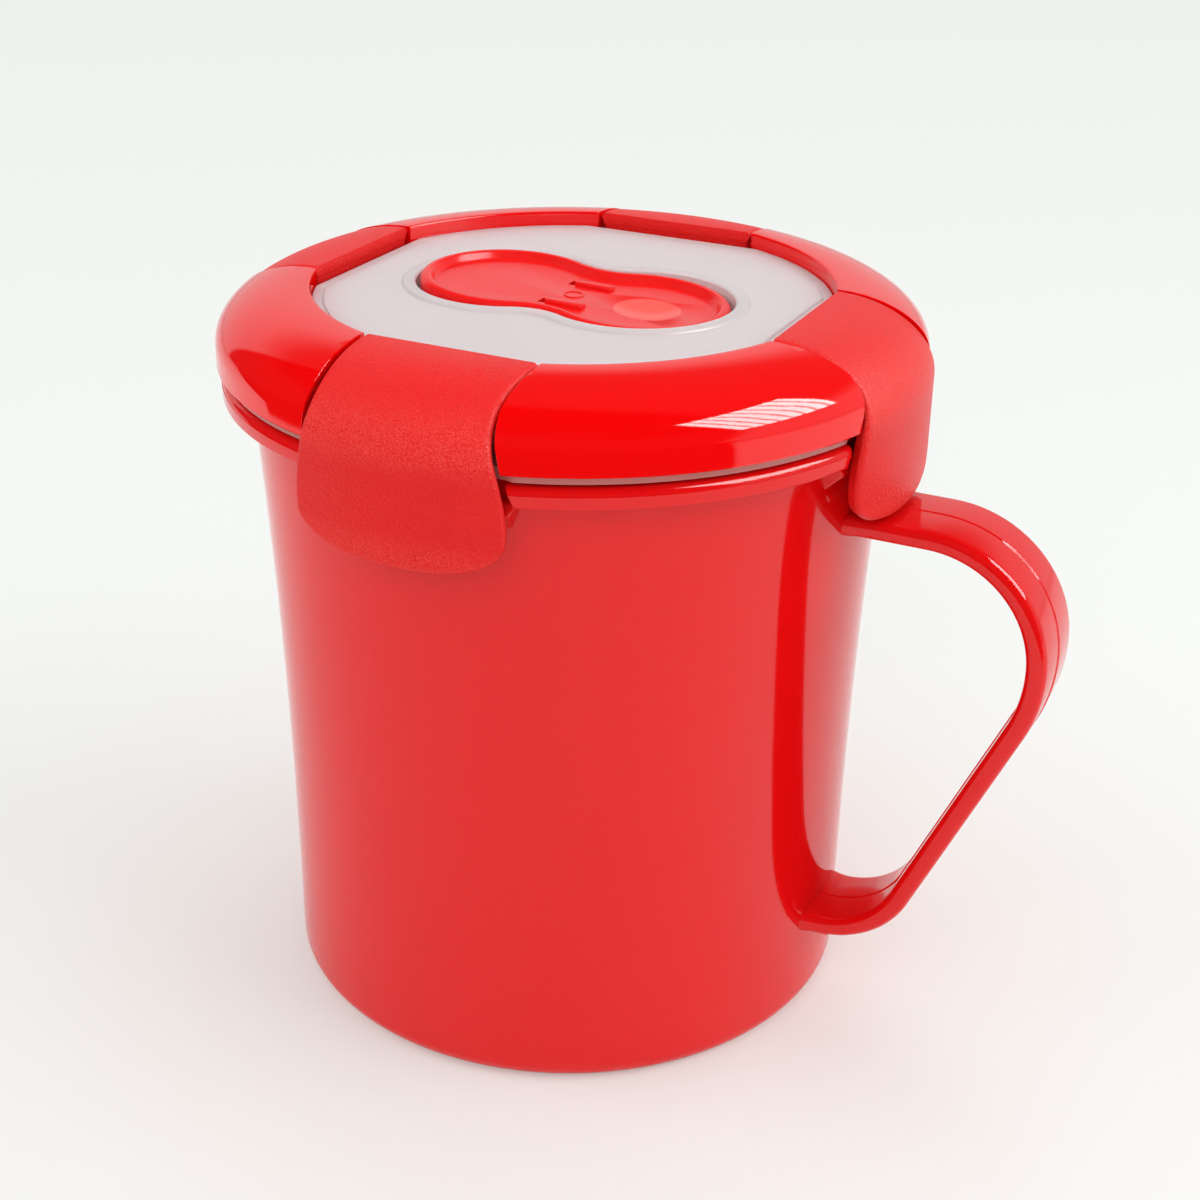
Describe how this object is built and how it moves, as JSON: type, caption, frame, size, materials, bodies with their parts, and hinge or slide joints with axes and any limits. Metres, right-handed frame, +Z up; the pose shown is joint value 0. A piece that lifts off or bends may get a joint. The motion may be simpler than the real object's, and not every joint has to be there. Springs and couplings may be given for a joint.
{
  "type": "soup mug",
  "caption": "Lidded soup mug with a strap handle, a milky lid panel in a domed ring, hinged locking clips and a rocking steam vent.",
  "frame": {"origin": "centre of the mug's foot, on the surface that it stands on", "axes": "+Z up along the mug's axis, +X towards the handle, -Y towards the clip that faces the viewer when the handle is on the right"},
  "size_m": [0.14, 0.1146, 0.1199],
  "materials": {
    "mug_red": "glossy moulded polypropylene",
    "ring_red": "high gloss moulded plastic",
    "clip_red": "fine grained satin polypropylene",
    "vent_red": "glossy soft-touch plastic",
    "pin_red": "smooth moulded plastic",
    "panel_milky": "milky translucent polypropylene",
    "silicone_seal": "soft translucent silicone"
  },
  "bodies": {
    "mug": {"mug_body": "mug_red", "mug_handle": "mug_red"},
    "lid": {"lid_panel": "panel_milky", "lid_ring": "ring_red", "seal_ring": "silicone_seal", "clip_pin_front": "pin_red", "clip_pin_right": "pin_red", "clip_pin_back": "pin_red", "clip_pin_left": "pin_red"},
    "clip_front": {"clip_front": "clip_red"},
    "clip_right": {"clip_right": "clip_red"},
    "clip_back": {"clip_back": "clip_red"},
    "clip_left": {"clip_left": "clip_red"},
    "vent": {"vent_cap": "vent_red", "vent_bung": "silicone_seal"}
  },
  "joints": [
    {"name": "lid_lift", "type": "slide", "parent": "mug", "child": "lid", "axis": [0, 0, 1], "range_m": [0, 0.027]},
    {"name": "clip_open_front", "type": "hinge", "parent": "lid", "child": "clip_front", "pos_m": [0, -0.04154, 0.11744], "axis": [-1, 0, 0], "range_deg": [0, 135]},
    {"name": "clip_open_right", "type": "hinge", "parent": "lid", "child": "clip_right", "pos_m": [0.04154, 0, 0.11744], "axis": [0, -1, 0], "range_deg": [0, 135]},
    {"name": "clip_open_back", "type": "hinge", "parent": "lid", "child": "clip_back", "pos_m": [0, 0.04154, 0.11744], "axis": [1, 0, 0], "range_deg": [0, 135]},
    {"name": "clip_open_left", "type": "hinge", "parent": "lid", "child": "clip_left", "pos_m": [-0.04154, 0, 0.11744], "axis": [0, 1, 0], "range_deg": [0, 135]},
    {"name": "vent_rock", "type": "hinge", "parent": "lid", "child": "vent", "pos_m": [0, 0, 0.1165], "axis": [0, 1, 0], "range_deg": [0, 9]}
  ],
  "couplings": [
    {"joint": "clip_open_front", "follows": "lid_lift", "rad_per_m": 87.266},
    {"joint": "clip_open_right", "follows": "lid_lift", "rad_per_m": 87.266},
    {"joint": "clip_open_back", "follows": "lid_lift", "rad_per_m": 87.266},
    {"joint": "clip_open_left", "follows": "lid_lift", "rad_per_m": 87.266}
  ]
}
